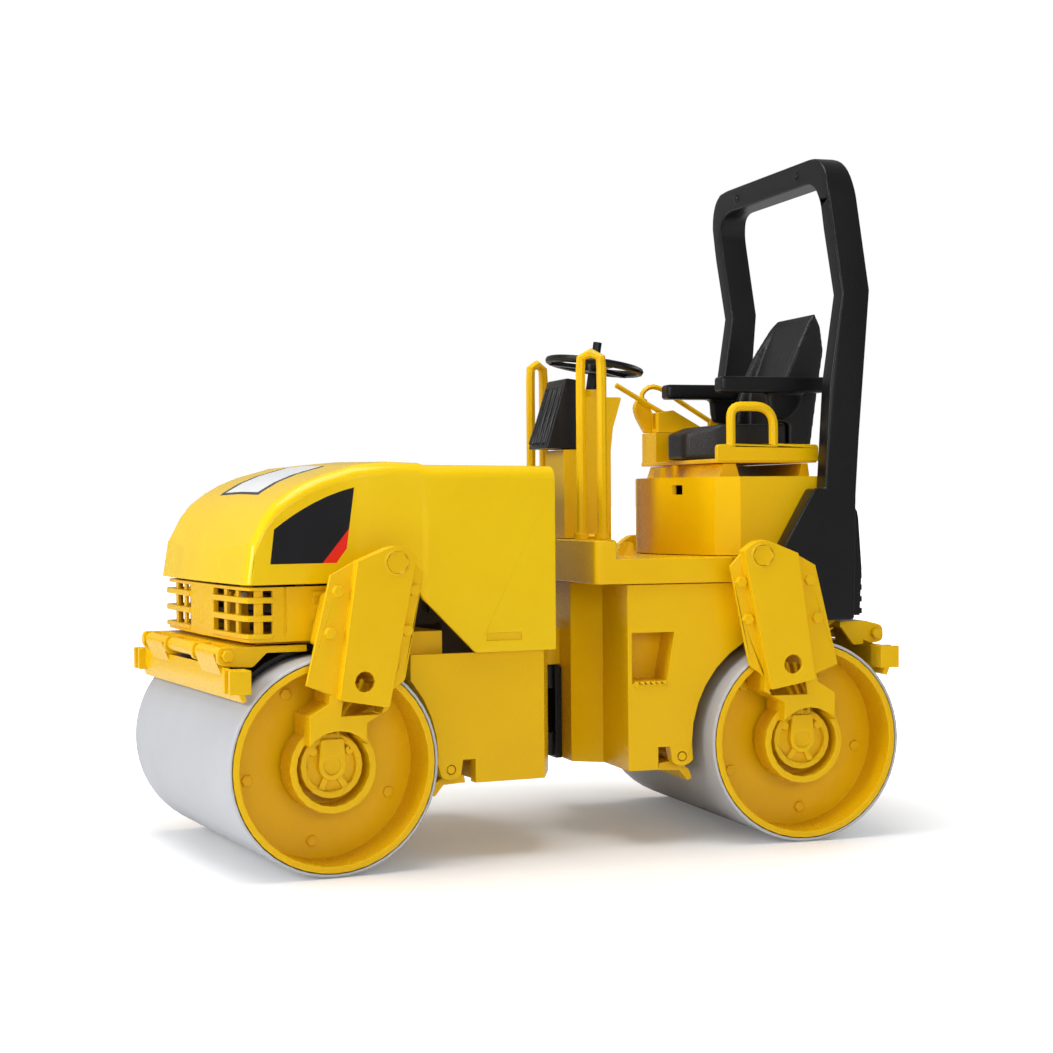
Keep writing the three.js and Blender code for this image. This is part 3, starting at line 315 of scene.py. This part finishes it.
def printPanels(material):
    tree = material.node_tree
    shader = tree.nodes["Principled BSDF"]
    own = tree.nodes.new("ShaderNodeMapping")
    own.vector_type = "POINT"
    drawn = frontHalf.inverted()
    own.inputs["Location"].default_value = drawn.translation * 1000
    own.inputs["Rotation"].default_value = drawn.to_euler()
    own.inputs["Scale"].default_value = (1000, 1000, 1000)
    link(tree, tree.nodes.new("ShaderNodeTexCoord").outputs["Object"], own.inputs["Vector"])
    split = tree.nodes.new("ShaderNodeSeparateXYZ")
    link(tree, own.outputs["Vector"], split.inputs[0])
    x, y, z = split.outputs
    across = addMath(tree, "ABSOLUTE", y)

    def more(value, limit):
        return addMath(tree, "GREATER_THAN", value, limit)

    def less(value, limit):
        return addMath(tree, "LESS_THAN", value, limit)

    def allOf(first, second, *others):
        mask = addMath(tree, "MULTIPLY", first, second)
        return allOf(mask, *others) if others else mask

    def pastLine(x0, z0, x1, z1, compare=more):
        slope = (x1 - x0) / (z1 - z0)
        return compare(x, addMath(tree, "ADD", addMath(tree, "MULTIPLY", z, slope), x0 - slope * z0))

    bend = addMath(tree, "ADD", addMath(tree, "MULTIPLY", x, panels["crestBend"]), panels["crestSlope"])
    rise = addMath(tree, "MULTIPLY", addMath(tree, "ADD", x, panels["crestX"]), bend)
    under = less(z, addMath(tree, "ADD", rise, panels["crestZ"]))
    field = allOf(more(across, panels["sideFrom"]), more(z, panels["foot"]), under,
                  pastLine(*panels["blackFront"], compare=less), pastLine(*panels["blackRear"]))
    black = allOf(field, pastLine(*panels["slant"]))
    red = allOf(field, pastLine(*panels["slant"], compare=less), pastLine(*panels["redEnd"]))
    first, last = panels["noseRange"]
    inner, outer = panels["noseHalf"]
    length = allOf(more(x, first), less(x, last), more(z, panels["noseFrom"]))
    rail = allOf(length, less(across, outer))
    white = allOf(length, less(across, inner), less(x, last - panels["noseBar"]))
    colour = shader.inputs["Base Color"].links[0].from_socket
    for mask, ink in ((black, "black"), (red, "red"), (rail, "black"), (white, "white")):
        colour = addMix(tree, mask, colour, inks[ink])
    link(tree, colour, shader.inputs["Base Color"])


printPanels(finishes["hood_yellow"])
print("finishes made")


# every visible piece is a copy of the frame's own, welded, with its edges rounded where the bevel reaches
edges = {"weld": 0.02, "width": 0.28, "sharp": 32, "voxel": 0.7}  # millimetres; sharp is in degrees
softly = {"engine_hood": 0.3, "rops_frame": 0.8, "rear_cover": 0.7, "dash_panel": 0.5, "seat_pedestal": 0.5,
          "operator_deck": 0.5, "rear_chassis": 0.4, "front_chassis": 0.4, "console_column": 0.5}
clamped = {"articulation_knuckles", "console_column", "front_chassis", "handrail_left", "handrail_right",
           "rear_cover", "rear_scraper_blade", "rear_scraper_bracket", "seat_pedestal",
           "steering_wheel"}  # these would outgrow the frame's box unclamped
padded = {"seat_cushion": 6, "seat_backrest": 7, "armrest_left": 4, "armrest_right": 4}  # rounds of smoothing


def moulding(node):
    source = nodes[node]
    piece = bpy.data.objects.new(node + ".moulding", source.data.copy())
    bpy.context.scene.collection.objects.link(piece)
    activate(piece)
    bpy.ops.object.mode_set(mode="EDIT")
    bpy.ops.mesh.select_all(action="SELECT")
    bpy.ops.mesh.remove_doubles(threshold=edges["weld"] * mm)
    bpy.ops.object.mode_set(mode="OBJECT")
    if node in padded:
        applyModifier(piece, "REMESH", mode="VOXEL", voxel_size=edges["voxel"] * mm)
        applyModifier(piece, "SMOOTH", factor=0.5, iterations=padded[node])
    else:
        roundEdges(piece, softly.get(node, edges["width"]) * mm, node in clamped)
    smooth(piece)
    settle(piece, source["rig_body"], slotOf[node], node)


for node in sorted(nodes):
    moulding(node)
print("mouldings rounded")


backdropLook = {"span": 60.0, "drop": 0.0002, "fadeFrom": 0.12, "fadeTo": 0.3, "nearGlow": 0.12, "light": 0.33}


def makeStage():
    bpy.ops.mesh.primitive_plane_add(size=backdropLook["span"], location=(0, 0, -backdropLook["drop"]))
    floor = bpy.context.object
    floor.name = "studioFloor"
    material, tree, shader = newMaterial("paleFloor", Roughness=0.6)
    place = tree.nodes.new("ShaderNodeTexCoord").outputs["Object"]
    cloud = addNoise(tree, place, 3.0, 2.0)
    link(tree, addMix(tree, cloud, (0.88, 0.88, 0.88, 1), (0.91, 0.91, 0.91, 1)), shader.inputs["Base Color"])
    away = tree.nodes.new("ShaderNodeVectorMath")
    away.operation = "LENGTH"
    link(tree, place, away.inputs[0])
    glow = addRange(tree, away.outputs["Value"], backdropLook["fadeFrom"], backdropLook["fadeTo"],
                    backdropLook["nearGlow"], 1.0)  # the floor fades into the backdrop, to the camera alone
    seen = tree.nodes.new("ShaderNodeLightPath").outputs["Is Camera Ray"]
    link(tree, addMath(tree, "MULTIPLY", glow, seen), shader.inputs["Emission Strength"])
    shader.inputs["Emission Color"].default_value = (1, 1, 1, 1)
    floor.data.materials.append(material)


def makeLight(name, spot, aim, size, power):
    data = bpy.data.lights.new(name, "AREA")
    data.shape = "RECTANGLE"
    data.size, data.size_y = size
    data.energy = power
    lamp = bpy.data.objects.new(name, data)
    lamp.location = spot
    lamp.rotation_euler = (Vector(aim) - Vector(spot)).to_track_quat("-Z", "Y").to_euler()
    bpy.context.scene.collection.objects.link(lamp)


studio = {
    "overheadSoftbox": ((0.15, 0.1, 0.9), (0, 0, 0.1), (0.7, 0.5), 5.2),
    "frontSoftbox": ((1.1, 0.2, 0.5), (0, 0, 0.1), (0.5, 0.5), 7.0),
    "cameraFill": ((0.1, 1.2, 0.4), (0, 0, 0.12), (0.9, 0.3), 3.2),
    "backStrip": ((-0.9, -0.5, 0.6), (0, 0, 0.15), (0.8, 0.3), 1.5),
}
for name, (spot, aim, size, power) in studio.items():
    makeLight(name, spot, aim, size, power)
makeStage()
world = bpy.data.worlds.new("paleStudio")
world.use_nodes = True
backdrop = world.node_tree.nodes["Background"]
seen = world.node_tree.nodes.new("ShaderNodeLightPath").outputs["Is Camera Ray"]
strength = addRange(world.node_tree, seen, 0.0, 1.0, backdropLook["light"], 1.0)  # white to the camera only
link(world.node_tree, strength, backdrop.inputs["Strength"])
backdrop.inputs["Color"].default_value = (1, 1, 1, 1)
bpy.context.scene.world = world
bpy.context.scene.view_settings.view_transform = "Standard"

viewpoint = {"place": (0.2247, 0.7601, 0.1299), "heading": 162.98, "tilt": -0.75, "roll": -0.45, "lens": 69.46}
camera = bpy.data.objects.new("camera", bpy.data.cameras.new("camera"))
camera.data.lens = viewpoint["lens"]
camera.data.sensor_width = 36
camera.matrix_world = (Matrix.Translation(viewpoint["place"])
                       @ Matrix.Rotation(math.radians(viewpoint["heading"]), 4, "Z")
                       @ Matrix.Rotation(math.radians(90 + viewpoint["tilt"]), 4, "X")
                       @ Matrix.Rotation(math.radians(viewpoint["roll"]), 4, "Z"))
bpy.context.scene.collection.objects.link(camera)
bpy.context.scene.camera = camera
print("stage set")
